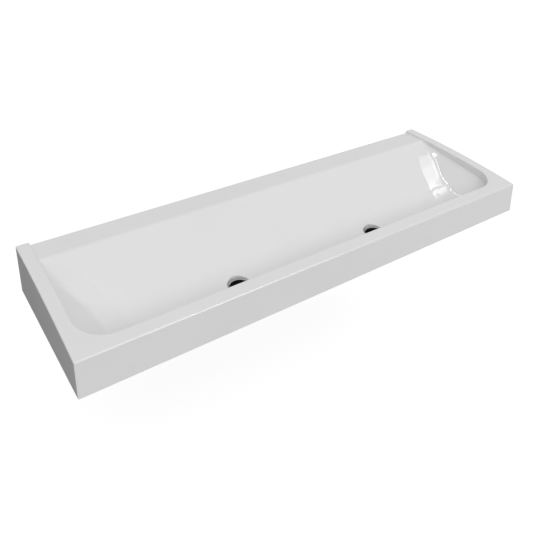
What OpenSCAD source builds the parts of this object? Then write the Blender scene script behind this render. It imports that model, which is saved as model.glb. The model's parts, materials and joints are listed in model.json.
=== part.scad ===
// Wall-hung trough sink: one long cast basin with a raked back panel, scooped ends and two
// open wastes, hung on four studs. Millimetres. X runs along the wall, Y points into the
// wall, Z is up. The origin is on the wall face, midway along it and level with the studs.

/* [Casting] */
// Length along the wall
trough_length = 1600; // [1300:10:2400]
// Depth from the front face to the wall face
trough_depth = 503; // [470:1:600]
// Height of the front face
front_height = 107; // [98:1:125]
// Height of the end rims at the wall
rear_height = 153; // [145:1:175]
// Rise of the rim tops above a straight line from front to wall
rim_bow = 8.3; // [2:0.1:12]
// Width of each end rim
end_rim = 38; // [30:1:60]
// Width of the front rim
front_rim = 42; // [34:1:60]
// Drop of the ledge along the wall below the end rims
ledge_drop = 9.7; // [5:0.1:16]
// Radius of the edge between the ledge and the back panel
ledge_edge_radius = 25; // [16:1:40]
// Thickness of the casting under the back panel and the ledge
shell = 14; // [10:1:15]
// Thickness of the wall that the studs pass through
stud_wall = 18; // [14:1:30]
// Distance from the front face to the hollow underside
hollow_front = 200; // [192:1:230]
// Thickness of each rib in the hollow
rib = 12; // [8:1:20]

/* [Basin] */
// Height of the basin floor above the lower edge
floor_height = 16.5; // [15:0.5:22]
// Radius between the front wall and the floor
front_radius = 60; // [45:1:70]
// Length of flat floor between the front radius and the floor radius
floor_flat = 30.6; // [20:0.1:36]
// Radius between the floor and the back panel
floor_radius = 160; // [100:5:180]
// Slope of the back panel
panel_angle = 28; // [25:0.1:30]
// Radius of the two front corners of the basin, in plan
corner_radius = 87; // [60:1:100]
// Radius of the scooped ends
scoop_radius = 188; // [160:1:260]
// Height of the upright band over the scoop, at the front face
band_front = 31.5; // [24:0.1:44]
// Height of the ledge over the scoop's top, at the panel's upper edge
band_rear = 4.6; // [2:0.1:8]
// Radius left between the ledge and the end rims
rim_fillet = 8; // [4:0.5:9]

/* [Wastes] */
// Distance from each end of the casting to its waste
waste_from_end = 533.3; // [420:0.1:600]
// Distance from the front rim's inner edge to the wastes
waste_setback = 108; // [98:1:118]
// Diameter of the waste's flange
flange_dia = 70; // [62:1:76]
// Height of the flange above its seal
flange_rise = 3; // [2:0.5:5]
// Depth of the round seat below the basin floor
seat_sink = 2.5; // [1:0.5:4]
// Gap round the flange in its seat
seat_gap = 1; // [0.5:0.5:2]
// Wall of the waste's dish
dish_wall = 2.5; // [2:0.5:3.5]
// Outside diameter of the threaded tail
tail_dia = 41.91; // [38:0.01:48]
// Bore of the threaded tail
tail_bore = 36; // [30:0.5:37]
// Length of the tail below the casting
tail_length = 60; // [45:1:90]
// Width of the groove between the back nut's thread and the trap's thread
thread_break = 1.5; // [1:0.5:3]
// Width of the bars of the cross in the tail
cross_bar = 3; // [2:0.5:4]
// Thickness of the seal under the flange
seal_thickness = 1.5; // [1:0.5:2.5]
// Thickness of the rubber gasket under the casting
gasket_thickness = 4; // [2:0.5:6]
// Thickness of the slip washer under the gasket
slip_thickness = 2; // [1:0.5:3]
// Width across the flats of the back nut
back_nut_flats = 54; // [52:1:60]
// Thickness of the back nut
back_nut_height = 9; // [6:1:14]

/* [Wall fixings] */
// Height of the studs above the lower edge
stud_height = 75; // [60:1:90]
// Distance between neighbouring studs
stud_spacing = 440; // [340:10:460]
// Diameter of the stud's machine thread
stud_dia = 10; // [8:1:12]
// Diameter of the stud's thread in the wall
wall_thread_dia = 10.5; // [8.5:0.1:14]
// Diameter of the plain shank between the threads
shank_dia = 8.9; // [6:0.1:9.5]
// Length of plain shank inside the casting
shank_length = 8; // [4:1:12]
// Length of stud that stands out of the wall face
stud_reach = 70; // [50:1:90]
// Outside diameter of the collar round each stud
collar_dia = 14; // [13:0.5:18]
// Diameter of the collar's head
collar_head_dia = 24; // [20:1:30]
// Thickness of the collar's head
collar_head = 2; // [1:0.5:3]
// Diameter of the stud washer
washer_dia = 30; // [26:1:34]
// Thickness of the stud washer
washer_thickness = 2.5; // [1.5:0.5:4]
// Width across the flats of the stud nut
stud_nut_flats = 17; // [16:0.5:19]
// Thickness of the stud nut
stud_nut_height = 8; // [6:0.5:10]
// Length of thread that shows past the stud nut
thread_end = 7; // [3:1:12]

/* [Hidden] */
$fn = 96;

over = 1;                   // how far a cut runs past the face that it opens
fit = 0.05;                 // radial gap between a thread and its nut
slip = 0.2;                 // radial gap of a loose ring on its pin
wall_clear = 0.4;           // gap between the wall face and the stud's wall thread
chamfer = 1;                // chamfer at the ends of threads and at the flange's edge
rim_steps = 12;
arc_steps = 8;
panel_steps = 10;
scoop_steps = 8;

// Heights and places that follow from the sizes above, before the part is moved to its origin
ledge_height = rear_height - ledge_drop;
basin_half = trough_length / 2 - end_rim;
floor_tangent = floor_radius * tan(panel_angle / 2);
edge_tangent = ledge_edge_radius * tan(panel_angle / 2);
floor_start_y = front_rim + front_radius + floor_flat;
panel_foot_y = floor_start_y + floor_tangent;
ledge_y = panel_foot_y + (ledge_height - floor_height) / tan(panel_angle);
crease_front = front_height - band_front;
crease_slope = (ledge_height - band_rear - crease_front) / ledge_y;
cut_top = rear_height + rim_bow;

waste_x = trough_length / 2 - waste_from_end;
waste_y = front_rim + waste_setback;
seat_z = floor_height - seat_sink;
flange_z = seat_z + seal_thickness;
tail_r = tail_dia / 2;
seat_cone_r = flange_dia / 2 - chamfer;
waste_hole_r = tail_r + shell / 4;
cone_shift = seal_thickness * sqrt(2);

function rim_z(y) =
    front_height + (rear_height - front_height) * y / trough_depth
    + 4 * rim_bow * y / trough_depth * (1 - y / trough_depth);

// Height of the scoop's upper edge on the end walls: level along the ledge
function crease_z(y) = crease_front + crease_slope * min(y, ledge_y);

// Half the basin's length at y: the front corners are rounded in plan
function half_at(y) =
    let (into = max(0, front_rim + corner_radius - y))
    basin_half - corner_radius + sqrt(max(0, corner_radius ^ 2 - into ^ 2));

// One point of the basin's lengthwise section and of the shell's underside below it
function station(centre, r, grow, dir) = [
    centre[0] + r * dir[0], centre[1] + r * dir[1],
    centre[0] + (r + grow) * dir[0], centre[1] + (r + grow) * dir[1]
];

front_arc = [for (i = [0:arc_steps])
    let (a = 90 * i / arc_steps)
    station([front_rim + front_radius, floor_height + front_radius], front_radius, shell,
        [-cos(a), -sin(a)])];

floor_arc = [for (i = [0:arc_steps])
    let (a = panel_angle * i / arc_steps)
    station([floor_start_y, floor_height + floor_radius], floor_radius, shell,
        [sin(a), -cos(a)])];

edge_arc = [for (i = [0:arc_steps / 2])
    let (a = panel_angle * (1 - 2 * i / arc_steps))
    station([ledge_y + edge_tangent, ledge_height - ledge_edge_radius], ledge_edge_radius,
        -shell, [-sin(a), cos(a)])];

// The panel's stations draw together towards the ledge, where the scoop runs out in a point
panel_line = [for (i = [1:panel_steps - 1])
    let (t = 1 - (1 - i / panel_steps) ^ 2)
    floor_arc[arc_steps] * (1 - t) + edge_arc[0] * t];

ledge_line = [[trough_depth + over, ledge_height, trough_depth + over, ledge_height - shell]];

basin_line = concat(front_arc, floor_arc, panel_line, edge_arc, ledge_line);
shell_line = concat([floor_arc[arc_steps]], panel_line, edge_arc, ledge_line);

// Half of a cross-section at a station: down the end wall, round the scoop, to the floor
function half_section(s, grow) =
    let (
        y = grow == 0 ? s[0] : s[2],
        z = grow == 0 ? s[1] : s[3],
        rise = crease_z(s[0]) - s[1],
        h = max(rim_fillet, rise),
        dx = max(rim_fillet, sqrt(max(0, 2 * scoop_radius * rise - rise ^ 2))),
        r = (dx ^ 2 + h ^ 2) / (2 * h) + grow,
        wall_x = half_at(s[0]) + grow,
        centre_x = half_at(s[0]) - dx,
        sweep = asin(min(1, (wall_x - centre_x) / r))
    )
    concat(
        [[wall_x, y, cut_top]],
        [for (i = [0:scoop_steps])
            let (a = sweep * (1 - i / scoop_steps))
            [centre_x + r * sin(a), y, z + r - r * cos(a)]]
    );

function section(s, grow) =
    let (half = half_section(s, grow), n = len(half))
    concat(half, [for (i = [n - 1:-1:0]) [-half[i][0], half[i][1], half[i][2]]]);

// Solid through a row of sections that all have the same number of points
module loft(sections) {
    n = len(sections[0]);
    last = (len(sections) - 1) * n;
    polyhedron(
        points = [for (s = sections) each s],
        faces = concat(
            [[for (i = [0:n - 1]) i]],
            [for (k = [0:len(sections) - 2], i = [0:n - 1])
                let (a = k * n + i, b = k * n + (i + 1) % n)
                each [[a, b + n, b], [a, a + n, b + n]]],
            [[for (i = [n - 1:-1:0]) last + i]]
        ),
        convexity = 4
    );
}

module place() {
    translate([0, -trough_depth, -stud_height]) children();
}

module at_waste(side) {
    place() translate([side * waste_x, waste_y, 0]) children();
}

// Places a piece on stud number i with its Z along the stud, towards the wall
module at_stud(i) {
    translate([(i - 2.5) * stud_spacing, 0, 0]) rotate([-90, 0, 0]) children();
}

module ring(outer, inner, height) {
    difference() {
        cylinder(r = outer, h = height);
        translate([0, 0, -over]) cylinder(r = inner, h = height + 2 * over);
    }
}

module hex_nut(flats, bore, height) {
    difference() {
        cylinder(r = flats / sqrt(3), h = height, $fn = 6);
        translate([0, 0, -over]) cylinder(r = bore, h = height + 2 * over);
    }
}

// Outline of the casting from the side, drawn out along the wall
module outer_block() {
    side = concat(
        [[0, 0]],
        [for (i = [0:rim_steps])
            let (y = trough_depth * i / rim_steps)
            [y, rim_z(y)]],
        [[trough_depth, 0]]
    );
    translate([-trough_length / 2, 0, 0])
        rotate([90, 0, 90]) linear_extrude(trough_length) polygon(side);
}

// Open underside behind the wastes, up to the shell, with ribs between the studs
module underside_hollow() {
    half = basin_half + shell - over;
    difference() {
        translate([-half, hollow_front, -over])
            cube([2 * half, trough_depth - stud_wall - hollow_front, ledge_height]);
        loft([for (s = shell_line) section(s, shell)]);
        for (i = [-1:1])
            translate([i * stud_spacing - rib / 2, 0, -2 * over])
                cube([rib, trough_depth, rear_height]);
    }
}

module waste_seat() {
    seat_r = flange_dia / 2 + seat_gap;
    bore_z = seat_z - (seat_cone_r - waste_hole_r);
    translate([0, 0, seat_z]) cylinder(r = seat_r, h = front_height);
    translate([0, 0, bore_z])
        cylinder(r1 = waste_hole_r, r2 = seat_cone_r, h = seat_cone_r - waste_hole_r);
    translate([0, 0, -over]) cylinder(r = waste_hole_r, h = seat_z);
}

module trough_body() {
    color([0.93, 0.93, 0.93]) difference() {
        place() difference() {
            outer_block();
            loft([for (s = basin_line) section(s, 0)]);
            underside_hollow();
            for (side = [-1, 1])
                translate([side * waste_x, waste_y, 0]) waste_seat();
        }
        for (i = [1:4])
            at_stud(i) translate([0, 0, -stud_wall - over])
                cylinder(d = collar_dia + 2 * slip, h = stud_wall + 2 * over);
    }
}

// Flange, dish and threaded tail in one turned piece, with a cross in the bore
module waste(side) {
    flange_r = flange_dia / 2;
    top = flange_z + flange_rise;
    bore_r = tail_bore / 2;
    cone_r = seat_cone_r + flange_z - seat_z - cone_shift;
    dish_z = flange_z - cone_r + dish_wall * sqrt(2);
    cross_h = cross_bar + chamfer;
    groove_z = -gasket_thickness - slip_thickness - back_nut_height - chamfer;
    outline = [
        [bore_r, -tail_length],
        [tail_r - chamfer, -tail_length],
        [tail_r, chamfer - tail_length],
        [tail_r, groove_z - thread_break],
        [tail_r - chamfer / 2, groove_z - thread_break],
        [tail_r - chamfer / 2, groove_z],
        [tail_r, groove_z],
        [tail_r, flange_z - cone_r + tail_r],
        [cone_r, flange_z],
        [flange_r, flange_z],
        [flange_r, top - chamfer],
        [flange_r - chamfer, top],
        [top - dish_z, top],
        [bore_r, dish_z + bore_r]
    ];
    color([0.72, 0.73, 0.75]) at_waste(side) {
        rotate_extrude() polygon(outline);
        intersection() {
            translate([0, 0, -cross_h]) cylinder(r = bore_r + fit, h = cross_h);
            for (turn = [0, 90])
                rotate(turn) translate([-tail_r, -cross_bar / 2, -cross_h])
                    cube([tail_dia, cross_bar, cross_h]);
        }
    }
}

// Rubber seal that lines the seat under the flange and its cone
module flange_seal(side) {
    flange_r = flange_dia / 2;
    cone_r = seat_cone_r + flange_z - seat_z - cone_shift;
    reach = (seat_cone_r - waste_hole_r) * 0.7;
    color([0.15, 0.15, 0.16]) at_waste(side)
        rotate_extrude() polygon([
            [seat_cone_r, seat_z],
            [flange_r, seat_z],
            [flange_r, flange_z],
            [cone_r, flange_z],
            [cone_r - reach, flange_z - reach],
            [cone_r - reach + cone_shift / 2, flange_z - reach - cone_shift / 2]
        ]);
}

module back_gasket(side) {
    color([0.13, 0.13, 0.14]) at_waste(side)
        translate([0, 0, -gasket_thickness])
            ring(back_nut_flats / 2 + chamfer, tail_r + slip, gasket_thickness);
}

module slip_washer(side) {
    color([0.85, 0.84, 0.8]) at_waste(side)
        translate([0, 0, -gasket_thickness - slip_thickness])
            ring(back_nut_flats / 2 + 2 * chamfer, tail_r + slip, slip_thickness);
}

module back_nut(side) {
    color([0.78, 0.66, 0.38]) at_waste(side)
        translate([0, 0, -gasket_thickness - slip_thickness - back_nut_height])
            hex_nut(back_nut_flats, tail_r + fit, back_nut_height);
}

// Stud with a machine thread inside the casting and a pointed thread in the wall
module wall_stud(i) {
    inner = stud_wall + collar_head + washer_thickness + stud_nut_height + thread_end;
    color([0.66, 0.67, 0.7]) at_stud(i) {
        translate([0, 0, -inner])
            cylinder(d1 = stud_dia - 2 * chamfer, d2 = stud_dia, h = chamfer);
        translate([0, 0, chamfer - inner])
            cylinder(d = stud_dia, h = inner - chamfer - shank_length);
        translate([0, 0, -shank_length])
            cylinder(d = shank_dia, h = shank_length + wall_clear);
        translate([0, 0, wall_clear])
            cylinder(d = wall_thread_dia, h = stud_reach - wall_clear - wall_thread_dia);
        translate([0, 0, stud_reach - wall_thread_dia])
            cylinder(d1 = wall_thread_dia, d2 = wall_thread_dia / 4, h = wall_thread_dia);
    }
}

module stud_collar(i) {
    color([0.9, 0.9, 0.88]) at_stud(i) {
        translate([0, 0, -stud_wall])
            ring(collar_dia / 2, stud_dia / 2 + slip, stud_wall);
        translate([0, 0, -stud_wall - collar_head])
            ring(collar_head_dia / 2, stud_dia / 2 + slip, collar_head);
    }
}

module stud_washer(i) {
    color([0.7, 0.71, 0.73]) at_stud(i)
        translate([0, 0, -stud_wall - collar_head - washer_thickness])
            ring(washer_dia / 2, stud_dia / 2 + slip, washer_thickness);
}

module stud_nut(i) {
    color([0.7, 0.71, 0.73]) at_stud(i)
        translate([0, 0, -stud_wall - collar_head - washer_thickness - stud_nut_height])
            hex_nut(stud_nut_flats, stud_dia / 2 + fit, stud_nut_height);
}

trough_body();
waste(-1);  // waste_left
waste(1);  // waste_right
flange_seal(-1);  // flange_seal_left
flange_seal(1);  // flange_seal_right
back_gasket(-1);  // back_gasket_left
back_gasket(1);  // back_gasket_right
slip_washer(-1);  // slip_washer_left
slip_washer(1);  // slip_washer_right
back_nut(-1);  // back_nut_left
back_nut(1);  // back_nut_right
wall_stud(1);  // wall_stud_1
wall_stud(2);  // wall_stud_2
wall_stud(3);  // wall_stud_3
wall_stud(4);  // wall_stud_4
stud_collar(1);  // stud_collar_1
stud_collar(2);  // stud_collar_2
stud_collar(3);  // stud_collar_3
stud_collar(4);  // stud_collar_4
stud_washer(1);  // stud_washer_1
stud_washer(2);  // stud_washer_2
stud_washer(3);  // stud_washer_3
stud_washer(4);  // stud_washer_4
stud_nut(1);  // stud_nut_1
stud_nut(2);  // stud_nut_2
stud_nut(3);  // stud_nut_3
stud_nut(4);  // stud_nut_4
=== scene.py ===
# %% [markdown]
# # A wall-hung trough sink
#
# The sink is one long white casting with two open wastes. It hangs on four studs in the wall.
# This lesson dresses a finished construction model of it: the sizes and places are settled there,
# and here every piece gets its rounded edges, its threads and its finish.
# The construction model is loaded first, and each piece that is made later stands for one of its
# nodes and rides on the same body.

# %% Load the frame and measure it
import json
import math
import bmesh
import bpy
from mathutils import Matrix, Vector

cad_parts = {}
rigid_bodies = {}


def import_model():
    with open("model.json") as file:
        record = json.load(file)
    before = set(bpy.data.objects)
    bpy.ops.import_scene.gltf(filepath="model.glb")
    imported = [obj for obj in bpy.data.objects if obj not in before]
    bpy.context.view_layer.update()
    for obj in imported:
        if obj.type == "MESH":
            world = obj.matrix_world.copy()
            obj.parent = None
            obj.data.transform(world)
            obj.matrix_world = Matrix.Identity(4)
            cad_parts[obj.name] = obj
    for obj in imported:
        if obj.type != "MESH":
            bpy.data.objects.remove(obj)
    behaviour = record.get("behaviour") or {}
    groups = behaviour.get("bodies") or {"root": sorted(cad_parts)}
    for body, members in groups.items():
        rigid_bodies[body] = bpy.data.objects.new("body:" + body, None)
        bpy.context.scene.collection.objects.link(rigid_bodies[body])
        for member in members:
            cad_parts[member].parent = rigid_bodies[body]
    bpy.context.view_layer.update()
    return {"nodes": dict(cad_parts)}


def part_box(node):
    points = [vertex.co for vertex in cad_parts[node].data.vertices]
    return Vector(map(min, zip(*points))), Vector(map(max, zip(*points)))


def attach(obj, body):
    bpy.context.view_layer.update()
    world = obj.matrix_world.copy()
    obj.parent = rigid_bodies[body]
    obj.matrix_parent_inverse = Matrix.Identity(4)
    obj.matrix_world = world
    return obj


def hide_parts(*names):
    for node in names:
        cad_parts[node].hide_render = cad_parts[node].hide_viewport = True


for leftover in list(bpy.data.objects):
    bpy.data.objects.remove(leftover)
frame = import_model()
print("nodes in the frame:", len(frame["nodes"]))

# %% [markdown]
# The casting's sizes are written in millimetres, counted from its front face and its lower edge,
# because that is how a drawing of it would give them. The overall sizes are read from the frame.
# One function turns such a place into the frame's own metres, where the wall face is y = 0 and
# the studs are at z = 0. Points in a mesh are never exact, so two small lengths, TINY and NEAR,
# say how far apart two places may be and still count as one.

# %% The sizes of the casting
MM = 0.001
TINY = 1e-6
NEAR = 1e-5
body_low, body_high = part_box("trough_body")
length = (body_high.x - body_low.x) / MM
depth = -body_low.y / MM
stud_height = -body_low.z / MM
rear_height = (body_high.z - body_low.z) / MM
front_height = 107
rim_bow = 8.3
end_rim = 38
front_rim = 42
ledge_drop = 9.7
ledge_height = rear_height - ledge_drop
ledge_edge_radius = 25
shell = 14
hollow_front = 200
stud_wall = 18
rib = 12
print("casting in mm:", round(length), "x", round(depth), "x", round(rear_height))


def place(x, y, z):
    """A place on the casting in millimetres, as a place in the frame in metres."""
    return Vector((x, y - depth, z - stud_height)) * MM


# %% The sizes of the basin
floor_height = 16.5
front_radius = 60
floor_radius = 160
panel_slope = math.radians(28)
corner_radius = 87
scoop_radius = 188
band_front = 31.5
band_rear = 4.6
rim_fillet = 8
crease_radius = 4
flat_floor = 30.6
basin_half = length / 2 - end_rim
floor_start = front_rim + front_radius + flat_floor
floor_arc_end = floor_start + floor_radius * math.sin(panel_slope)
ledge_start = floor_start + floor_radius * math.tan(panel_slope / 2) + (
    ledge_height - floor_height) / math.tan(panel_slope)
edge_tangent = ledge_edge_radius * math.tan(panel_slope / 2)
edge_start = ledge_start - edge_tangent * math.cos(panel_slope)
edge_end = ledge_start + edge_tangent
crease_front = front_height - band_front
crease_slope = (ledge_height - band_rear - crease_front) / ledge_start
print("the ledge starts", round(ledge_start, 1), "mm from the front face")

# %% The place of the wastes and the studs
waste_low, waste_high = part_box("waste_right")
waste_x = (waste_low.x + waste_high.x) / 2 / MM
waste_y = (waste_low.y + waste_high.y) / 2 / MM + depth
stud_xs = [sum(corner.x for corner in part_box(f"wall_stud_{i}")) / 2 / MM for i in range(1, 5)]
print("wastes at x =", round(waste_x, 1), "mm, studs at x =", [round(x) for x in stud_xs])

# %% [markdown]
# The camera stands where the photographer stood: to the left and above, looking along the sink.
# The picture was taken with the lens shifted down, which keeps the upright edges almost parallel,
# so the camera here has a small shift too.

# %% The camera
camera_place = (-1.0895, -1.7251, 1.0797)
degrees_down, degrees_right = 19.574, 34.162
sensor_width, focal_length = 36, 42.7
lens_shift = -0.31
sight = 200

bpy.ops.object.camera_add(
    location=camera_place,
    rotation=(math.radians(90 - degrees_down), 0, -math.radians(degrees_right)),
)
camera = bpy.context.object
camera.data.sensor_width = sensor_width
camera.data.lens = focal_length
camera.data.shift_y = lens_shift
camera.data.clip_end = sight
bpy.context.scene.camera = camera
print("camera at", [round(v, 2) for v in camera.location])

# %% [markdown]
# Surroundings, floor and finishes are all made of nodes. One helper makes a node and gives its
# inputs plain values, or links them where it is handed the output of another node. Another makes
# a factor that tells rays that look or mirror from rays that light.

# %% Helpers for nodes


def feed(tree, node, **inputs):
    """Gives each named input a plain value, or a link if it is handed an output."""
    for name, value in inputs.items():
        socket = node.inputs[name.replace("_", " ")]
        if isinstance(value, bpy.types.NodeSocket):
            tree.links.new(value, socket)
        else:
            socket.default_value = value
    return node


def add_node(tree, kind, **inputs):
    """A new node with its inputs fed."""
    return feed(tree, tree.nodes.new("ShaderNode" + kind), **inputs)


def seen_only(tree):
    """A factor that is 1 for what is looked at, mirrored or seen through, and 0 for light."""
    path = add_node(tree, "LightPath")
    factor = path.outputs["Is Camera Ray"]
    for name in ["Is Glossy Ray", "Is Transmission Ray"]:
        either = add_node(tree, "Math")
        either.operation = "MAXIMUM"
        tree.links.new(factor, either.inputs[0])
        tree.links.new(path.outputs[name], either.inputs[1])
        factor = either.outputs[0]
    return factor


print("node helpers:", [helper.__name__ for helper in (feed, add_node, seen_only)])

# %% [markdown]
# A cast white sink shows its shape only by soft shading. The light is a plain studio: a pale
# surrounding that fills from all sides, and a broad soft key from the front and above. What the
# camera and the reflections see of the surroundings is white near the horizon and a little greyer
# overhead, and none of that white lights the sink. The floor is a large pale sheet that lies well
# below the sink, so that its shadow on it is wide and faint.

# %% The surroundings
fill_strength = 0.45
overhead = 0.3
overhead_white = 0.75
sheet_white = (1, 1, 1, 1)

bpy.context.scene.view_settings.view_transform = "Standard"
world = bpy.data.worlds.new("studio")
bpy.context.scene.world = world
world.use_nodes = True
sky = world.node_tree
sky.nodes.clear()
fill = add_node(sky, "Background", Color=sheet_white, Strength=fill_strength)
direction = add_node(sky, "TexCoord").outputs["Generated"]
upward = add_node(sky, "SeparateXYZ", Vector=direction).outputs["Z"]
fall = add_node(sky, "MapRange", Value=upward, From_Max=overhead, To_Min=1, To_Max=overhead_white)
seen_sky = add_node(sky, "Background", Color=sheet_white, Strength=fall.outputs["Result"])
choice = add_node(sky, "MixShader", Fac=seen_only(sky))
sky.links.new(fill.outputs[0], choice.inputs[1])
sky.links.new(seen_sky.outputs[0], choice.inputs[2])
add_node(sky, "OutputWorld", Surface=choice.outputs[0])
print("fill light:", fill_strength)

# %% The floor
floor_drop = 0.8
floor_size = 160
paper_grey = (0.5, 0.5, 0.5, 1)
paper_shine = (0.7, 0.7, 0.7, 1)

bpy.ops.mesh.primitive_plane_add(size=floor_size, location=(0, 0, -floor_drop))
studio_floor = bpy.context.object
studio_floor.name = "studio_floor"
paper = bpy.data.materials.new("studio_paper")
paper.use_nodes = True
tree = paper.node_tree
tree.nodes.clear()
matt = add_node(tree, "BsdfDiffuse", Color=paper_grey)
shine = add_node(tree, "Emission", Color=paper_shine, Strength=seen_only(tree))
both = add_node(tree, "AddShader")
tree.links.new(matt.outputs[0], both.inputs[0])
tree.links.new(shine.outputs[0], both.inputs[1])
add_node(tree, "OutputMaterial", Surface=both.outputs[0])
studio_floor.data.materials.append(paper)
print("floor", floor_drop, "m below the studs")

# %% The key light
key_strength = 1.26
key_width = math.radians(60)
key_side = Vector((-0.06, -0.66, 0.75))

bpy.ops.object.light_add(type="SUN")
key = bpy.context.object
key.name = "key"
key.data.energy = key_strength
key.data.angle = key_width
key.rotation_mode = "QUATERNION"
key.rotation_quaternion = key_side.to_track_quat("Z", "Y")
key.visible_glossy = False
print("key strength:", key_strength)

# %% [markdown]
# Six strip lamps hang over the right end. Each shines only within a narrow fan, and only
# reflections show it. The glossy scoop mirrors them as a bright patch and as a thin line along
# its cove, which is what shows that the surface is curved.

# %% Strip lamps
strip_height = 1.05


def fan_lamp(name, centre, size, fan, glow):
    """A lamp of brightness glow within a fan, in degrees, that only reflections show."""
    bpy.ops.object.light_add(type="AREA", location=centre)
    lamp = bpy.context.object
    lamp.name = lamp.data.name = name
    lamp.data.shape = "RECTANGLE"
    lamp.data.size, lamp.data.size_y = size
    lamp.data.spread = 2 * math.radians(fan)
    narrow = 1 - math.radians(fan) / math.tan(math.radians(fan))
    lamp.data.energy = glow * math.pi * size[0] * size[1] * narrow
    lamp.visible_camera = False
    lamp.visible_diffuse = False
    return lamp


def strip_lamp(name, low, high, lean, fan, glow, turn=0):
    """A fan lamp over the right end, between two corners (x, y), leaned and turned."""
    centre = ((low[0] + high[0]) / 2, (low[1] + high[1]) / 2, strip_height)
    lamp = fan_lamp(name, centre, (high[0] - low[0], high[1] - low[1]), fan, glow)
    lamp.rotation_euler = (math.radians(turn), math.radians(lean), 0)


strip_lamp("strip_quad", (1.26, -0.36), (1.42, -0.2), lean=26, fan=12, glow=8.5)
strip_lamp("strip_upper", (1.26, -0.2), (1.42, -0.08), lean=26, fan=12, glow=5)
strip_lamp("strip_first", (1.19, -0.36), (1.24, 0.02), lean=26, fan=12, glow=9)
strip_lamp("strip_second", (1.06, -0.36), (1.13, 0.05), lean=21, fan=13, glow=7)
strip_lamp("strip_soft", (0.82, -0.36), (1.04, -0.13), lean=12, fan=16, glow=5.5)
strip_lamp("strip_line", (0.53, -0.02), (0.68, 0.14), lean=-6, fan=13, glow=10, turn=-16)
print("lamps:", [light.name for light in bpy.data.lights])

# %% [markdown]
# The round front edge mirrors one more lamp as a thin light line along its left half. This lamp
# stands where the edge mirrors it for the photographer. Its fan is narrow too, and light linking
# lets it reach the casting alone, so the metal of the wastes stays calm.

# %% The edge lamp
edge_side = Vector((0.383, -0.627, 0.677)).normalized()
edge_middle = Vector((-0.5, body_low.y, place(0, 0, front_height).z))
edge_distance = 2.5
edge_size = (2.2, 1.6)
edge_place = edge_middle + edge_distance * edge_side
edge_lamp = fan_lamp("edge_lamp", edge_place, edge_size, fan=20, glow=12)
edge_lamp.rotation_mode = "QUATERNION"
edge_lamp.rotation_quaternion = edge_side.to_track_quat("Z", "Y")
lit_by_edge = bpy.data.collections.new("lit_by_edge")
edge_lamp.light_linking.receiver_collection = lit_by_edge
print("edge lamp at", [round(v, 2) for v in edge_lamp.location])

# %% [markdown]
# A dark card lies low behind the left end. The end face is seen almost edge on, so it mirrors
# whatever lies there, and the card keeps that face darker than the front.

# %% The dark card
card_place = (-1.1, 0.85, 0.01 - floor_drop)
card_size = (0.5, 1.6, 1)
card_grey = (0.02, 0.02, 0.02, 1)

bpy.ops.mesh.primitive_plane_add(size=1, location=card_place)
card = bpy.context.object
card.name = "dark_card"
card.scale = card_size
black = bpy.data.materials.new("dark_card")
black.use_nodes = True
tree = black.node_tree
feed(tree, tree.nodes["Principled BSDF"], Base_Color=card_grey, Roughness=1)
card.data.materials.append(black)
card.visible_camera = False
card.visible_shadow = False
card.visible_diffuse = False
print("card size in metres:", card_size[:2])

# %% [markdown]
# Work on a piece starts with nothing else selected, because an operator acts on all that is
# selected. Modifiers are applied at once, so that the finished mesh is plain geometry.

# %% Take, open and finish a piece


def nothing_selected():
    """Leaves edit mode and deselects everything."""
    if bpy.context.object and bpy.context.object.mode != "OBJECT":
        bpy.ops.object.mode_set(mode="OBJECT")
    bpy.ops.object.select_all(action="DESELECT")


def take(piece):
    """Makes the piece the only one that is selected."""
    nothing_selected()
    piece.select_set(True)
    bpy.context.view_layer.objects.active = piece


def edit(piece):
    """Opens the piece in edit mode with all of it selected."""
    take(piece)
    bpy.ops.object.mode_set(mode="EDIT")
    bpy.ops.mesh.select_all(action="SELECT")


def turn_outwards():
    """In edit mode, turns all faces outwards."""
    bpy.ops.mesh.select_all(action="SELECT")
    bpy.ops.mesh.normals_make_consistent(inside=False)


def settle():
    """Applies the place, turn and scale of the selected object to its mesh."""
    bpy.ops.object.transform_apply(location=True, rotation=True, scale=True)


def apply(piece, kind, **settings):
    """Adds a modifier with its settings and applies it."""
    take(piece)
    modifier = piece.modifiers.new(kind.lower(), kind)
    for name, value in settings.items():
        setattr(modifier, name, value)
    bpy.ops.object.modifier_apply(modifier=modifier.name)


def combine(piece, tool, operation):
    """Applies a Boolean with the tool and removes the tool."""
    apply(piece, "BOOLEAN", operation=operation, object=tool, solver="EXACT")
    bpy.data.objects.remove(tool)


# %% [markdown]
# In edit mode, edges and faces are picked in code, by their place. An extrusion moves its new
# vertices by a rule. Where a loop changes its form on the way, each of its vertices gets a goal of
# its own, and the loop is extruded towards the goals in steps.

# %% Pick and extrude


def pick(piece, test, kind="edges"):
    """Selects the edges or faces that pass the test, and nothing else."""
    bpy.ops.mesh.select_mode(type="FACE" if kind == "faces" else "EDGE")
    bpy.ops.mesh.select_all(action="DESELECT")
    mesh = bmesh.from_edit_mesh(piece.data)
    chosen = [item for item in getattr(mesh, kind) if test(item)]
    for item in chosen:
        item.select_set(True)
    bmesh.update_edit_mesh(piece.data)
    return len(chosen)


def extrude(piece, move):
    """Extrudes what is selected and moves each new vertex to where move says."""
    bpy.ops.mesh.extrude_region_move()
    mesh = bmesh.from_edit_mesh(piece.data)
    for vertex in [v for v in mesh.verts if v.select]:
        vertex.co = move(vertex.co.copy())
    bmesh.update_edit_mesh(piece.data)


def set_goals(piece, goal):
    """Gives each selected vertex a start and a goal, and writes their number on the vertex."""
    mesh = bmesh.from_edit_mesh(piece.data)
    number = mesh.verts.layers.int.get("goal") or mesh.verts.layers.int.new("goal")
    goals = []
    for vertex in [v for v in mesh.verts if v.select]:
        vertex[number] = len(goals)
        goals.append(goal(vertex.co))
    return goals


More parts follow.
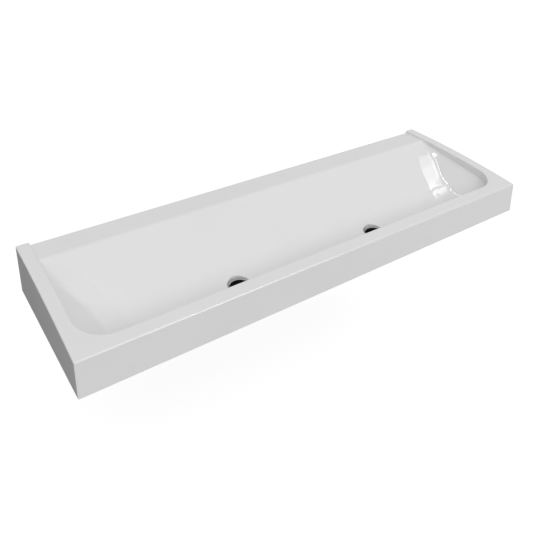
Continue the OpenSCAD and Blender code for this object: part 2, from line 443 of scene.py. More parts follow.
def extrude_to_goals(piece, goals, steps, lay):
    """Extrudes the selected loop to its goals in steps, and lays each new point on a surface."""
    for step in range(1, steps + 1):
        bpy.ops.mesh.extrude_region_move()
        mesh = bmesh.from_edit_mesh(piece.data)
        number = mesh.verts.layers.int["goal"]
        for vertex in [v for v in mesh.verts if v.select]:
            start, end = goals[vertex[number]]
            vertex.co = lay(*start.lerp(end, step / steps))
        bmesh.update_edit_mesh(piece.data)


print("modelling helpers:", [helper.__name__ for helper in (pick, extrude, extrude_to_goals)])

# %% [markdown]
# ## The casting
#
# The real casting is poured in one mould, so its basin, ledge and rims are one skin. Four curves
# describe it. The first is the section from front to wall: a round front wall, a flat floor, a
# raked panel and a ledge. The second is the height of the rims. The third is the crease over the
# scooped ends, and the fourth is the plan, which is straight with two round front corners.

# %% The curves of the basin


def basin_z(y):
    """Height of the basin's section at a distance y from the front face."""
    if y <= front_rim + front_radius:
        into = front_rim + front_radius - y
        return floor_height + front_radius - math.sqrt(max(0, front_radius**2 - into**2))
    if y <= floor_start:
        return floor_height
    if y <= floor_arc_end:
        return floor_height + floor_radius - math.sqrt(floor_radius**2 - (y - floor_start) ** 2)
    if y <= edge_start:
        return ledge_height - (ledge_start - y) * math.tan(panel_slope)
    if y <= edge_end:
        return ledge_height - ledge_edge_radius + math.sqrt(
            ledge_edge_radius**2 - (edge_end - y) ** 2)
    return ledge_height


def rim_z(y):
    """Height of the rims, which bow up between front and wall."""
    t = y / depth
    return front_height + (rear_height - front_height) * t + 4 * rim_bow * t * (1 - t)


def crease_z(y):
    """Height of the crease where an end wall turns into its scoop."""
    return crease_front + crease_slope * min(y, ledge_start)


def half_at(y):
    """Half the length of the basin, which narrows at the round front corners."""
    into = max(0, front_rim + corner_radius - y)
    return basin_half - corner_radius + math.sqrt(max(0, corner_radius**2 - into**2))


print("rim heights, front and wall:", round(rim_z(0)), round(rim_z(depth)))

# %% [markdown]
# Crosswise, each section goes down the end wall, round a small radius at the crease, down a flat
# slope, round a cove and over a gentle apron to the floor. The apron meets the floor at a slight
# angle, which gives the faint line where the scoop begins. The cove is tight at the ledge and
# wide at the front wall, so the flat slope looks like a lens in the picture. On the ledge all of
# it shrinks to nothing, and only the radius is left, as a fillet under the rim.

# %% The section across one end
edge_radius = 3.5
crease_steps, lens_steps, cove_steps, apron_steps = 5, 8, 22, 4
lens_slope = math.radians(36.5)
gentle_apron, steep_apron = math.radians(6.5), math.radians(18)
steep_apron_y, gentle_apron_y = 165, 255
tight_cove, wide_cove = 52, 110
cove_taper = 0.5
cove_limit = 0.95
least_width = 1.05 * rim_fillet
rim_clearance = 0.5


def scoop_width(rise):
    """How far the scoop's arc reaches from the end wall while it climbs by rise."""
    return math.sqrt(max(0, 2 * scoop_radius * rise - rise**2))


def scoop(y, z):
    """The scoop's width and rise, the slopes of lens and apron, and the cove at one station."""
    rise = max(0, crease_z(y) - z)
    width = max(least_width, scoop_width(rise))
    mean = math.atan(rise / width)
    t = min(1, max(0, (y - steep_apron_y) / (gentle_apron_y - steep_apron_y)))
    wanted = steep_apron + (gentle_apron - steep_apron) * t * t * (3 - 2 * t)
    lens, apron = min(lens_slope, 2 * mean), min(wanted, mean / 2)
    across = math.sin(lens) - math.sin(apron)
    up = math.cos(apron) - math.cos(lens) - across * math.tan(apron)
    excess = rise - width * math.tan(apron)
    steeper = math.tan(lens) - math.tan(apron)
    if rise < TINY:
        return width, rise, lens, apron, 0, width, 0
    most = min(excess / up, (width - excess / steeper) / (across - up / steeper))
    cove = min(max(tight_cove, wide_cove - cove_taper * (y - front_rim)), cove_limit * most)
    lens_width = (excess - cove * up) / steeper
    return width, rise, lens, apron, cove, width - lens_width - cove * across, lens_width


def end_section(y, z):
    """Points (x, z) of the right end at one station, from the top of the wall to the floor."""
    width, rise, lens, apron, cove, apron_width, lens_width = scoop(y, z)
    wall_x, start_x = half_at(y), half_at(y) - width
    room = rim_z(y) - z - rise - edge_radius - rim_clearance
    on_ledge = max(0, 1 - rise / rim_fillet)
    small = min(room, crease_radius + (rim_fillet - crease_radius) * on_ledge)
    tangent = small * math.tan((math.pi / 2 - lens) / 2)
    points = []
    for i in range(crease_steps):
        a = math.pi / 2 + (lens - math.pi / 2) * i / crease_steps
        points.append((wall_x - small + small * math.sin(a),
                       z + rise + tangent - small * math.cos(a)))
    top_x = wall_x - tangent * math.cos(lens)
    lens_x = min(wall_x - lens_width, top_x)
    apron_x = min(start_x + apron_width, lens_x)
    for i in range(lens_steps):
        x = top_x + (lens_x - top_x) * i / lens_steps
        points.append((x, z + rise - (wall_x - x) * math.tan(lens)))
    for i in range(cove_steps):
        x = lens_x + (apron_x - lens_x) * i / cove_steps
        into = min(1, math.sin(apron) + (x - apron_x) / max(cove, TINY))
        lift = cove * (math.cos(apron) - math.sqrt(1 - into**2))
        points.append((x, z + (apron_x - start_x) * math.tan(apron) + lift))
    for i in range(apron_steps + 1):
        x = apron_x + (start_x - apron_x) * i / apron_steps
        points.append((x, z + (x - start_x) * math.tan(apron)))
    return points


print("points from crease to floor:", len(end_section(floor_start, floor_height)))

# %% [markdown]
# The skin starts as a grid. Its rows are stations from the front wall to the wall face, close
# together where the surface bends. Its columns follow the sections. Round each waste the grid is
# square, in cells of 6 mm, so that a clean ring can be let into it later.

# %% Rows and columns of the skin
cell = 6
window_cells = 16
window = window_cells * cell / 2
front_steps = 24
panel_rows = 26
panel_crowding = 1.6
edge_rows = 8
ledge_rows = 4

stations = []
for i in range(front_steps + 1):
    a = math.radians(90 * i / front_steps)
    stations.append((front_rim + front_radius * (1 - math.cos(a)),
                     floor_height + front_radius * (1 - math.sin(a))))
ys = [waste_y - window + cell * i for i in range(1, window_cells + 1)]
ys += [(ys[-1] + floor_arc_end) / 2, floor_arc_end]
for i in range(1, panel_rows + 1):
    t = 1 - (1 - i / panel_rows) ** panel_crowding
    ys.append(floor_arc_end + (edge_start - floor_arc_end) * t)
for i in range(1, edge_rows + 1):
    a = panel_slope * (1 - i / edge_rows)
    ys.append(edge_end - ledge_edge_radius * math.sin(a))
for i in range(1, ledge_rows + 1):
    ys.append(edge_end + (depth - edge_end) * i / ledge_rows)
stations += [(y, basin_z(y)) for y in ys]

gap_columns = 14
middle_columns = 8
first_column = 2
inner_xs = [waste_x - window + cell * i for i in range(window_cells + 1)]
middle_xs = [(waste_x - window) * i / middle_columns for i in range(middle_columns)]
print("stations:", len(stations))


# %% Lay the grid on the basin
def row_points(y, z):
    """One row of the skin, from the left rim to the right rim."""
    end = end_section(y, z)
    last_x, window_x = end[-1][0], inner_xs[-1]
    half = [(half_at(y), rim_z(y))] + end + [(last_x - first_column, z)]
    for i in range(1, gap_columns):
        t = i / gap_columns
        half.append((last_x + (window_x - last_x) * t, z))
    half += [(x, z) for x in reversed(inner_xs)]
    half += [(x, z) for x in reversed(middle_xs)]
    left = [place(-x, y, h) for x, h in half[:-1]]
    right = [place(x, y, h) for x, h in reversed(half)]
    return left + right


rows = [row_points(y, z) for y, z in stations]
wall_top = [Vector((p.x, p.y, place(0, 0, rim_z(front_rim)).z)) for p in rows[0]]
rows.insert(0, wall_top)
nothing_selected()
bpy.ops.mesh.primitive_grid_add(
    x_subdivisions=len(rows[0]) - 1, y_subdivisions=len(rows) - 1, size=2)
trough = bpy.context.object
trough.name = "trough"
flat = [point for row in rows for point in row]
for vertex, point in zip(trough.data.vertices, flat):
    vertex.co = point
print("grid vertices:", len(trough.data.vertices), "laid:", len(flat))

# %% [markdown]
# The grid's sides and front are now the inner edge of the rims. This edge is extruded outwards in
# a few rings, each laid on the curved rim top. At the round corners the outer ring has to reach a
# square corner, so each vertex there gets its own target on the outer edge.

# %% Extrude the rims
rim_rings = 5
corner_centre = Vector((basin_half - corner_radius, front_rim + corner_radius))


def corner_angle(y):
    """Angle on the round corner, from 0 at the front wall to 90 degrees at the end wall."""
    return math.acos(min(1, max(0, (corner_centre.y - y) / corner_radius)))


square_angle = math.atan2(length / 2 - corner_centre.x, corner_centre.y)
corner_rows = [corner_angle(y) for y, z in stations if y < corner_centre.y]
split = min(corner_rows, key=lambda a: abs(a - square_angle))


def outer_target(x, y):
    """Where the rim's inner point (x, y) goes on the outer edge, in casting millimetres."""
    side = math.copysign(1, x)
    if abs(x) <= corner_centre.x + TINY / MM:
        return x, 0
    if y >= corner_centre.y:
        return side * length / 2, y
    a = corner_angle(y)
    if a < split + TINY:
        reach = (length / 2 - corner_centre.x) * math.tan(a) / math.tan(split)
        return side * (corner_centre.x + reach), 0
    return side * length / 2, corner_centre.y * (1 - math.tan(split) / math.tan(a))


def rim_goal(p):
    """A rim point's own place and its place on the outer edge."""
    x, y = p.x / MM, p.y / MM + depth
    return Vector((x, y)), Vector(outer_target(x, y))


def on_rim(x, y):
    return place(x, y, rim_z(y))


wall_y = -NEAR
edit(trough)
bpy.ops.mesh.remove_doubles(threshold=TINY)
pick(trough, lambda e: e.is_boundary and min(v.co.y for v in e.verts) < wall_y)
goals = set_goals(trough, rim_goal)
extrude_to_goals(trough, goals, rim_rings, on_rim)
print("rim edge vertices:", len(goals))

# %% Extrude the outer faces down
base_z = place(0, 0, 0).z
extrude(trough, lambda p: Vector((p.x, p.y, base_z)))
bpy.ops.mesh.select_all(action="DESELECT")
print("faces with the outer faces:", len(bmesh.from_edit_mesh(trough.data).faces))

# %% [markdown]
# ### Seats for the wastes
#
# Each waste lies in a round seat. The square window of cells over it is taken out, and its edge is
# extruded inwards to a circle that lies on the basin's surface. The same edge then goes down the
# seat's wall, over the seat ring, down a cone and through the casting. On the panel side the seat
# cuts into rising ground, which gives it the tall crescent wall that shows in the picture.

# %% Let the seats in
seat_depth = 2.5
seat_z = floor_height - seat_depth
seat_radius = 36
cone_radius = 34
throat_radius = 24.6
bore_radius = 24.45
seat_rings = 4
basin_low = place(0, 0, 40).z
off_base = base_z + 10 * NEAR


def square_to_angle(dx, dy):
    """The angle on the circle for a point on the square window's edge, evenly spaced."""
    quarter = math.pi / 4
    if abs(dx) >= abs(dy):
        a = quarter * dy / abs(dx)
        return a if dx > 0 else math.pi - a
    a = quarter * dx / abs(dy)
    return math.pi / 2 - a if dy > 0 else a - math.pi / 2


def on_circle(centre, radius, z):
    """A move on to a circle round the centre, at the height z."""

    def move(p):
        out = Vector((p.x - centre.x, p.y - centre.y)).normalized() * radius * MM
        return Vector((centre.x + out.x, centre.y + out.y, place(0, 0, z).z))

    return move


def let_seat_in(side):
    """Sinks one seat into the basin, at the left for -1 and at the right for 1."""
    centre = place(side * waste_x, waste_y, 0)
    reach = window * MM
    edge = reach + cell / 2 * MM

    def in_window(face):
        middle = face.calc_center_median()
        low = base_z < middle.z < basin_low
        return low and abs(middle.x - centre.x) < reach and abs(middle.y - centre.y) < reach

    def on_window(e):
        return e.is_boundary and all(
            abs(v.co.x - centre.x) < edge and abs(v.co.y - centre.y) < edge
            and v.co.z > off_base for v in e.verts)

    def seat_goal(p):
        dx, dy = (p.x - centre.x) / MM, (p.y - centre.y) / MM
        a = square_to_angle(dx, dy)
        return Vector((dx, dy)), Vector((math.cos(a), math.sin(a))) * seat_radius

    def on_basin(dx, dy):
        return place(side * waste_x + dx, waste_y + dy, basin_z(waste_y + dy))

    found = pick(trough, in_window, "faces")
    bpy.ops.mesh.delete(type="FACE")
    edges = pick(trough, on_window)
    print("window cells:", found, "edges:", edges)
    extrude_to_goals(trough, set_goals(trough, seat_goal), seat_rings, on_basin)
    extrude(trough, on_circle(centre, seat_radius, seat_z))
    extrude(trough, on_circle(centre, cone_radius, seat_z))
    extrude(trough, on_circle(centre, throat_radius, seat_z - cone_radius + throat_radius))
    bpy.ops.mesh.edge_face_add()
    bpy.ops.mesh.select_all(action="DESELECT")


for side in (-1, 1):
    let_seat_in(side)

# %% [markdown]
# The wall side and the underside are flat, so each is closed with one face. The real casting has
# no knife edges, so every sharp edge is rounded: 3.5 mm on the rims and the corners, and less
# round the seats and against the wall.

# %% Close the wall side and the underside
litres = 1000


def measure(mesh):
    """Prints whether a skin is closed and how much it holds."""
    print("faces:", len(mesh.faces), "open edges:", sum(not e.is_manifold for e in mesh.edges))
    print("volume in litres:", round(mesh.calc_volume() * litres, 2))


pick(trough, lambda e: e.is_boundary and min(v.co.y for v in e.verts) > wall_y)
bpy.ops.mesh.edge_face_add()
pick(trough, lambda e: e.is_boundary)
bpy.ops.mesh.edge_face_add()
turn_outwards()
measure(bmesh.from_edit_mesh(trough.data))

# %% Make the flat outer faces one face each
hardly_bent = math.radians(0.05)


def on_outside(face):
    """Whether a face lies on an end, on the front or underneath."""
    middle = face.calc_center_median()
    at_edge = abs(middle.x) > body_high.x - NEAR or middle.y < body_low.y + NEAR
    return at_edge or middle.z < base_z + NEAR


pick(trough, on_outside, "faces")
bpy.ops.mesh.dissolve_limited(angle_limit=hardly_bent, use_dissolve_boundaries=False)
mesh = bmesh.from_edit_mesh(trough.data)
print("outer faces:", sum(on_outside(face) for face in mesh.faces))

# %% Round the edges
wall_edge_radius = 1
seat_edge_radius = 0.8
sharp = math.radians(60)
seat_zone = place(0, 1, 30)


def edge_rounding(edge):
    """The radius that a sharp edge gets, from where it lies."""
    if min(v.co.y for v in edge.verts) > wall_y:
        return wall_edge_radius
    highest = max(v.co.z for v in edge.verts)
    behind_front = max(v.co.y for v in edge.verts) > seat_zone.y
    at_seat = off_base < highest < seat_zone.z and behind_front
    return seat_edge_radius if at_seat else edge_radius


weight = mesh.edges.layers.float.new("bevel_weight_edge")
rounded = [e for e in mesh.edges if e.calc_face_angle(0) > sharp]
for edge in rounded:
    edge[weight] = edge_rounding(edge) / edge_radius
mesh.verts.layers.int.remove(mesh.verts.layers.int["goal"])
bmesh.update_edit_mesh(trough.data)
apply(trough, "BEVEL", width=edge_radius * MM, segments=4, limit_method="WEIGHT",
      use_clamp_overlap=False)
print("edges rounded:", len(rounded), "faces now:", len(trough.data.polygons))

# %% [markdown]
# ### The underside
#
# A casting is kept at an even thickness, so the underside is hollow behind the wastes, with ribs
# between the studs. Each pocket is made as a solid of its own: a grid laid 14 mm under the basin,
# pulled down past the lower edge, with a flared mouth as the mould's core has. All the pockets and
# bores are then cut out of the casting in one Boolean.

# %% The space under the shell
pocket_rows = 30
pocket_columns = 40
pocket_crowding = 1.7
mouth_radius = 2
mouth_degrees = (30, 60, 80)
core_foot = -5


def over_underside(y):
    """The basin point whose thickness reaches the underside at y: its y and its slope."""
    if y <= floor_start + (floor_radius + shell) * math.sin(panel_slope):
        above = floor_start + (y - floor_start) * floor_radius / (floor_radius + shell)
        return above, math.asin((above - floor_start) / floor_radius)
    if y <= edge_start + shell * math.sin(panel_slope):
        return y - shell * math.sin(panel_slope), panel_slope
    if y <= edge_end:
        above = edge_end - (edge_end - y) * ledge_edge_radius / (ledge_edge_radius - shell)
        return above, math.asin(min(1, (edge_end - above) / ledge_edge_radius))
    return y, 0


def ceiling_z(x, y):
    """Height of the pocket's ceiling, one shell's thickness under the basin."""
    above, slope = over_underside(y)
    z = basin_z(above)
    rise = crease_z(above) - z
    height = max(rim_fillet, rise)
    width = max(rim_fillet, scoop_width(rise))
    radius = (width**2 + height**2) / (2 * height) + shell
    past = max(0, abs(x) - (basin_half - width))
    return z - shell * math.cos(slope) + radius - math.sqrt(radius**2 - past**2)


def pocket(from_x, to_x):
    """A solid that fills the space under the shell between two ribs."""
    nothing_selected()
    bpy.ops.mesh.primitive_grid_add(
        x_subdivisions=pocket_columns, y_subdivisions=pocket_rows, size=2)
    core = bpy.context.object
    for vertex in core.data.vertices:
        across, along = (vertex.co.x + 1) / 2, (vertex.co.y + 1) / 2
        if abs(to_x) > abs(from_x):
            across = 1 - (1 - across) ** pocket_crowding
        else:
            across = across**pocket_crowding
        x = from_x + (to_x - from_x) * across
        y = hollow_front + (depth - stud_wall - hollow_front) * along
        vertex.co = place(x, y, ceiling_z(x, y))
    edit(core)
    pick(core, lambda e: e.is_boundary)
    middle = place((from_x + to_x) / 2, (hollow_front + depth - stud_wall) / 2, 0)
    half = Vector(((to_x - from_x) / 2, (depth - stud_wall - hollow_front) / 2)) * MM

    def lowered(wider, z):
        """Moves a point of the pocket's outline to height z and outwards."""

        def move(p):
            dx, dy = p.x - middle.x, p.y - middle.y
            out_x = wider * MM if abs(dx) > half.x - TINY else 0
            out_y = wider * MM if abs(dy) > half.y - TINY else 0
            return Vector((
                p.x + math.copysign(out_x, dx), p.y + math.copysign(out_y, dy), place(0, 0, z).z))

        return move

    extrude(core, lowered(0, mouth_radius))
    reached = 0
    for degrees in mouth_degrees:
        a = math.radians(degrees)
        wider = mouth_radius * (1 - math.cos(a))
        extrude(core, lowered(wider - reached, mouth_radius * (1 - math.sin(a))))
        reached = wider
    extrude(core, lowered(0, core_foot))
    bpy.ops.mesh.edge_face_add()
    turn_outwards()
    bpy.ops.object.mode_set(mode="OBJECT")
    return core


pocket_inset = 1
pocket_end = basin_half + shell - pocket_inset
spacing = stud_xs[1] - stud_xs[0]
rib_xs = [-spacing, 0, spacing]
starts = [-pocket_end] + [x + rib / 2 for x in rib_xs]
ends = [x - rib / 2 for x in rib_xs] + [pocket_end]
cores = [pocket(a, b) for a, b in zip(starts, ends)]
print("pockets:", [round(b - a) for a, b in zip(starts, ends)], "mm wide")

# %% Cut the pockets and the bores
stud_bore_radius = 7.2
bore_reach = 14
smooth_angle = math.radians(32)


def borer(centre, radius, reach, sides, tilt=0):
    """A round tool that takes one bore out of the casting."""
    bpy.ops.mesh.primitive_cylinder_add(
        vertices=sides, radius=radius * MM, depth=reach * MM, location=centre,
        rotation=(math.radians(tilt), 0, 0))
    return bpy.context.object


for side in (-1, 1):
    cores.append(borer(place(side * waste_x, waste_y, 0), bore_radius, bore_reach, sides=64))
for x in stud_xs:
    cores.append(borer(
        place(x, depth, stud_height), stud_bore_radius, 3 * stud_wall, sides=48, tilt=90))
take(cores[0])
for core in cores:
    core.select_set(True)
bpy.ops.object.join()
settle()
combine(trough, bpy.context.object, "DIFFERENCE")
take(trough)
bpy.ops.object.shade_smooth_by_angle(angle=smooth_angle)
apply(trough, "WEIGHTED_NORMAL", mode="FACE_AREA", weight=50, keep_sharp=True)
mesh = bmesh.new()
mesh.from_mesh(trough.data)
measure(mesh)
mesh.free()

# %% [markdown]
# ## Turned pieces
#
# The wastes, seals, washers and studs are all turned on a lathe or moulded round. In Blender such
# a piece is half an outline, spun once round an axis. The outline starts as a circle primitive
# with one vertex for each point, and each vertex is put in its place. A piece is made standing on
# the origin, and is moved and turned to its seat when it is finished.

# %% Spin an outline
turned_steps = 72
fine_steps = 96
turned_sharp = math.radians(40)


def soften(piece, radius):
    """Rounds the sharp edges of a small piece."""
    apply(piece, "BEVEL", width=radius * MM, segments=3, angle_limit=turned_sharp)


def turned(name, outline, steps=turned_steps, rounding=0, hollow=True):
    """Spins a closed outline of points (radius, height), in millimetres, round the Z axis."""
    nothing_selected()
    bpy.ops.mesh.primitive_circle_add(vertices=len(outline), radius=1)
    piece = bpy.context.object
    piece.name = piece.data.name = name
    for vertex, (radius, height) in zip(piece.data.vertices, outline):
        vertex.co = (radius * MM, 0, height * MM)
    edit(piece)
    bpy.ops.mesh.spin(steps=steps, angle=math.tau, center=(0, 0, 0), axis=(0, 0, 1))
    bpy.ops.mesh.select_all(action="SELECT")
    bpy.ops.mesh.remove_doubles(threshold=TINY)
    if not hollow:
        pick(piece, lambda e: max(Vector(v.co.xy).length for v in e.verts) < TINY)
        bpy.ops.mesh.delete(type="EDGE")
    turn_outwards()
    bpy.ops.object.mode_set(mode="OBJECT")
    if rounding:
        soften(piece, rounding)
    return piece


def ring(name, inner, outer, low, high, rounding):
    """A plain ring between two radii and two heights."""
    outline = [(inner, low), (outer, low), (outer, high), (inner, high)]
    return turned(name, outline, rounding=rounding)


print("a turned piece has", turned_steps, "steps round its axis")

# %% [markdown]
# An outline can hold arcs and threads. A thread is drawn as plain ridges, one for each turn of the
# real thread, because from the side nobody can see that a real ridge winds.

# %% Arcs and threads in an outline
# Where the four points of a ridge lie: the share of the pitch, and the share of the depth.
ridge = [(0.06, 1), (0.44, 0), (0.56, 0), (0.94, 1)]


def arc(centre, radius, start, end, steps):
    """Points of an arc, with its angles in degrees."""
    points = []
    for i in range(steps + 1):
        a = math.radians(start + (end - start) * i / steps)
        points.append((centre[0] + radius * math.cos(a), centre[1] + radius * math.sin(a)))
    return points


def thread(radius, start, end, pitch, tooth):
    """Points along a threaded stretch from the height start to the height end."""
    count = max(1, round(abs(end - start) / pitch))
    step = (end - start) / count
    points = []
    for i in range(count):
        base = start + i * step
        points += [(radius - tooth * deep, base + along * step) for along, deep in ridge]
    return points


sample = thread(radius=5, start=0, end=10, pitch=1.5, tooth=0.9)
print("a thread of 10 mm has", len(sample), "points")

# %% [markdown]
# Each piece that repeats is modelled once. Its copies get meshes of their own, are moved and
# turned to their seats, and have that place applied to the mesh, so that every object sits at the
# origin as the frame's own nodes do.

# %% Put copies in their seats


def seat(pattern, name, node, location, to_wall=False):
    """A copy of the pattern that stands for one node of the frame and rides with it."""
    piece = pattern.copy()
    piece.data = pattern.data.copy()
    piece.name = piece.data.name = name
    bpy.context.scene.collection.objects.link(piece)
    take(piece)
    piece.location = location
    if to_wall:
        piece.rotation_euler = (math.radians(-90), 0, 0)
    settle()
    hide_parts(node)
    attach(piece, "root")


def seat_at_wastes(pattern, name, node):
    """One copy at each waste, left and right."""
    for side, word in ((-1, "left"), (1, "right")):
        seat(pattern, f"{name}_{word}", f"{node}_{word}",
             place(side * waste_x, waste_y, 0))
    bpy.data.objects.remove(pattern)


def seat_at_studs(pattern, name, node):
    """One copy at each of the four studs, with its Z axis turned into the wall."""
    for number, x in enumerate(stud_xs, start=1):
        seat(pattern, f"{name}_{number}", f"{node}_{number}",
             place(x, depth, stud_height), to_wall=True)
    bpy.data.objects.remove(pattern)


print("a piece is seated at the wastes by two copies and at the studs by four")

# %% [markdown]
# ### The wastes
#
# A waste is a turned brass piece: a flange that lies in the casting's seat, a dish, and a
# threaded tail that the trap screws on to. The flange is polished and its edges are rounded, so
# that it catches a thin light line. A cross is cast in the bore, and the lower dish, the bore and
# the cross are coloured nearly black as painted shade for the darkness deep in the hole.

# %% The outline of a waste
seal_thickness, flange_thickness = 1.5, 3
flange_low = seat_z + seal_thickness
flange_top = flange_low + flange_thickness
flange_radius = 35
flange_corner, flange_round = 0.3, 1.4
dish_shift = 14.34
dish_round, dish_lip = 1.5, 0.2
dish_edge = flange_top + dish_shift
# From this radius inwards, the dish is coloured with painted shade.
painted_shade_radius = 29
tail_radius = 20.955
tail_bore, bore_corner = 18, 0.6
tail_end, tail_corner, lead_in = -60, 0.8, 1
groove_low, groove_high, groove_depth = -17.5, -16, 0.5
pipe_pitch, pipe_tooth = 2.309, 1.2
cone_top_radius = 33.379
cone_foot = flange_low - cone_top_radius + tail_radius

waste_outline = (
    [(tail_bore, tail_end + tail_corner), (tail_bore + tail_corner, tail_end)]
    + [(tail_radius - lead_in, tail_end)]
    + thread(tail_radius, tail_end + lead_in, groove_low, pipe_pitch, pipe_tooth)
    + [(tail_radius - groove_depth, groove_low), (tail_radius - groove_depth, groove_high)]
    + thread(tail_radius, groove_high, lead_in, pipe_pitch, pipe_tooth)
    + [(tail_radius, pipe_tooth), (tail_radius, cone_foot), (cone_top_radius, flange_low)]
    + [(flange_radius - flange_corner, flange_low), (flange_radius, flange_low + flange_corner)]
    + arc((flange_radius - flange_round, flange_top - flange_round), flange_round,
          start=0, end=90, steps=5)
    + arc((dish_edge - dish_lip, flange_top - dish_round), dish_round,
          start=90, end=135, steps=4)[1:]
    + [(r, r - dish_shift) for r in (painted_shade_radius, tail_bore + bore_corner)]
    + [(tail_bore, tail_bore - bore_corner - dish_shift)]
)
print("points in the outline of a waste:", len(waste_outline))

# %% Turn a waste and let the cross in
cross_bar = 3
cross_height = 4
cross_into = 1
cross_edge = 0.8

waste = turned("waste", waste_outline, steps=fine_steps)
bars = []
for turn in (0, 90):
    bpy.ops.mesh.primitive_cube_add(size=1, rotation=(0, 0, math.radians(turn)))
    bar = bpy.context.object
    bar.dimensions = (2 * (tail_bore + cross_into) * MM, cross_bar * MM, cross_height * MM)
    bar.location = (0, 0, -cross_height / 2 * MM)
    settle()
    soften(bar, cross_edge)
    bars.append(bar)
combine(bars[0], bars[1], "UNION")
combine(waste, bars[0], "UNION")
print("faces of a waste:", len(waste.data.polygons))

# %% [markdown]
# ### Seals, gaskets and washers
#
# The rubber pieces are squeezed, so their edges are well rounded. The nylon slip washer and the
# steel washer are stamped or moulded flat, and only their corners are broken.

# %% Turn the rings round the wastes
seal_reach = 6.68
seal_back = 1.06
ring_play = 0.2
gasket_radius, gasket_low = 28, -4
slip_radius, slip_low = 29, -6

seal = turned("seal", [
    (cone_radius, seat_z),
    (flange_radius, seat_z),
    (flange_radius, flange_low),
    (cone_top_radius, flange_low),
    (cone_top_radius - seal_reach, flange_low - seal_reach),
    (cone_top_radius - seal_reach + seal_back, flange_low - seal_reach - seal_back),
], rounding=0.3)
ring_bore = tail_radius + ring_play
gasket = ring("gasket", ring_bore, gasket_radius, gasket_low, 0, rounding=0.9)
slip = ring("slip", ring_bore, slip_radius, slip_low, gasket_low, rounding=0.35)
print("rings round a waste:", [made.name for made in (seal, gasket, slip)])

# %% [markdown]
# ### Nuts
#
# A hexagon nut is a prism whose corners are turned off at both ends. That is how it is made here
# too: a prism with six sides, cut to a turned barrel, with a threaded bore taken out.

# %% Make a hexagon nut
nut_face = 0.475
barrel_reach = 1.02
nut_chamfer = math.tan(math.radians(30))
mouth = 0.3
past = 1


def hexagon_nut(name, flats, bore, low, high, pitch, tooth):
    """A nut between two heights, with chamfered corners and a thread in its bore."""
    nothing_selected()
    corner = flats / math.sqrt(3)
    bpy.ops.mesh.primitive_cylinder_add(
        vertices=6, radius=corner * MM, depth=(high - low) * MM,
        location=(0, 0, (high + low) / 2 * MM))
    nut = bpy.context.object
    nut.name = nut.data.name = name
    settle()
    face_radius = nut_face * flats
    over = barrel_reach * corner
    over_drop = (over - face_radius) * nut_chamfer
    barrel = turned("barrel", [
        (0, low), (face_radius, low), (over, low + over_drop),
        (over, high - over_drop), (face_radius, high), (0, high),
    ], steps=fine_steps, hollow=False)
    combine(nut, barrel, "INTERSECT")
    sink = tooth + mouth
    drill = turned("drill", (
        [(0, low - past), (bore + sink + past, low - past), (bore, low + sink)]
        + [(r + tooth, z) for r, z in thread(bore, low + sink, high - sink, pitch, tooth)]
        + [(bore, high - sink), (bore + sink + past, high + past), (0, high + past)]
    ), hollow=False)
    combine(nut, drill, "DIFFERENCE")
    print(name, "faces:", len(nut.data.polygons))
    return nut


nut_play = 0.05
back_nut_low = -15
back_nut = hexagon_nut("back_nut_pattern", flats=54, bore=tail_radius + nut_play,
                       low=back_nut_low, high=slip_low, pitch=pipe_pitch, tooth=1.1)

# %% [markdown]
# ### Studs, collars and washers
#
# Each stud has a machine thread inside the casting and a coarse pointed thread in the wall. A
# white collar centres it in the casting, and a washer and a nut draw the casting to the wall.

# %% Turn a stud
stud_inner, stud_outer = -37.5, 70
stud_radius, stud_pitch, stud_tooth = 5, 1.5, 0.9
wall_thread_radius, wall_pitch, wall_tooth = 5.25, 4, 1.4
shank_radius, shank_low, shank_high = 4.45, -8, 0.2
end_face, end_corner = 3.8, 0.4
wall_thread_end = 59.5
point_low, point_high = (3.65, 60), (1.3, 69.4)
tip_radius = 0.8

stud_outline = (
    [(0, stud_inner), (end_face, stud_inner), (stud_radius - stud_tooth, stud_inner + end_corner)]
    + thread(stud_radius, stud_inner + 2 * end_corner, shank_low, stud_pitch, stud_tooth)
    + [(shank_radius, shank_low), (shank_radius, shank_high)]
    + thread(wall_thread_radius, 2 * shank_high, wall_thread_end, wall_pitch, wall_tooth)
    + [point_low, point_high, (tip_radius, stud_outer), (0, stud_outer)]
)
stud = turned("stud", stud_outline, steps=48, hollow=False)
print("faces of a stud:", len(stud.data.polygons))

# %% Turn the collar, the washer and the nut
stud_play = 5.2
collar_radius, sleeve_radius, washer_radius = 12, 7, 15
collar_low, collar_step = -20, -18
washer_low = -22.5
stud_nut_low = -30.5

collar = turned("collar", [
    (stud_play, collar_low), (collar_radius, collar_low), (collar_radius, collar_step),
    (sleeve_radius, collar_step), (sleeve_radius, 0), (stud_play, 0),
], rounding=0.4)
washer = ring("washer", stud_play, washer_radius, washer_low, collar_low, rounding=0.4)
stud_nut = hexagon_nut("stud_nut_pattern", flats=17, bore=stud_radius + nut_play,
                       low=stud_nut_low, high=washer_low, pitch=stud_pitch, tooth=0.8)

# %% [markdown]
# ## Finishes
#
# Every finish is made of nodes on one shader. A value that is the same all over is typed into the
# shader itself. What varies is driven by noise on the Object coordinates, in metres, so a scale of
# 250 gives spots of about 4 mm. The polishing marks of a waste have to run round it, so its mesh
# gets an attribute that says where a point lies round the axis and along the outline.

# %% Helpers for finishes


def new_finish(name, **values):
    """A material, its node tree and its shader, with plain values on the shader's sockets."""
    finish = bpy.data.materials.new(name)
    finish.use_nodes = True
    tree = finish.node_tree
    return finish, tree, feed(tree, tree.nodes["Principled BSDF"], **values)


def object_space(tree):
    """The Object coordinates, in metres."""
    return add_node(tree, "TexCoord").outputs["Object"]


def turned_space(tree, stretch):
    """The turned attribute, stretched so that noise on it runs round the piece."""
    attribute = add_node(tree, "Attribute")
    attribute.attribute_name = "turned"
    mapping = add_node(tree, "Mapping", Vector=attribute.outputs["Vector"], Scale=stretch)
    return mapping.outputs["Vector"]


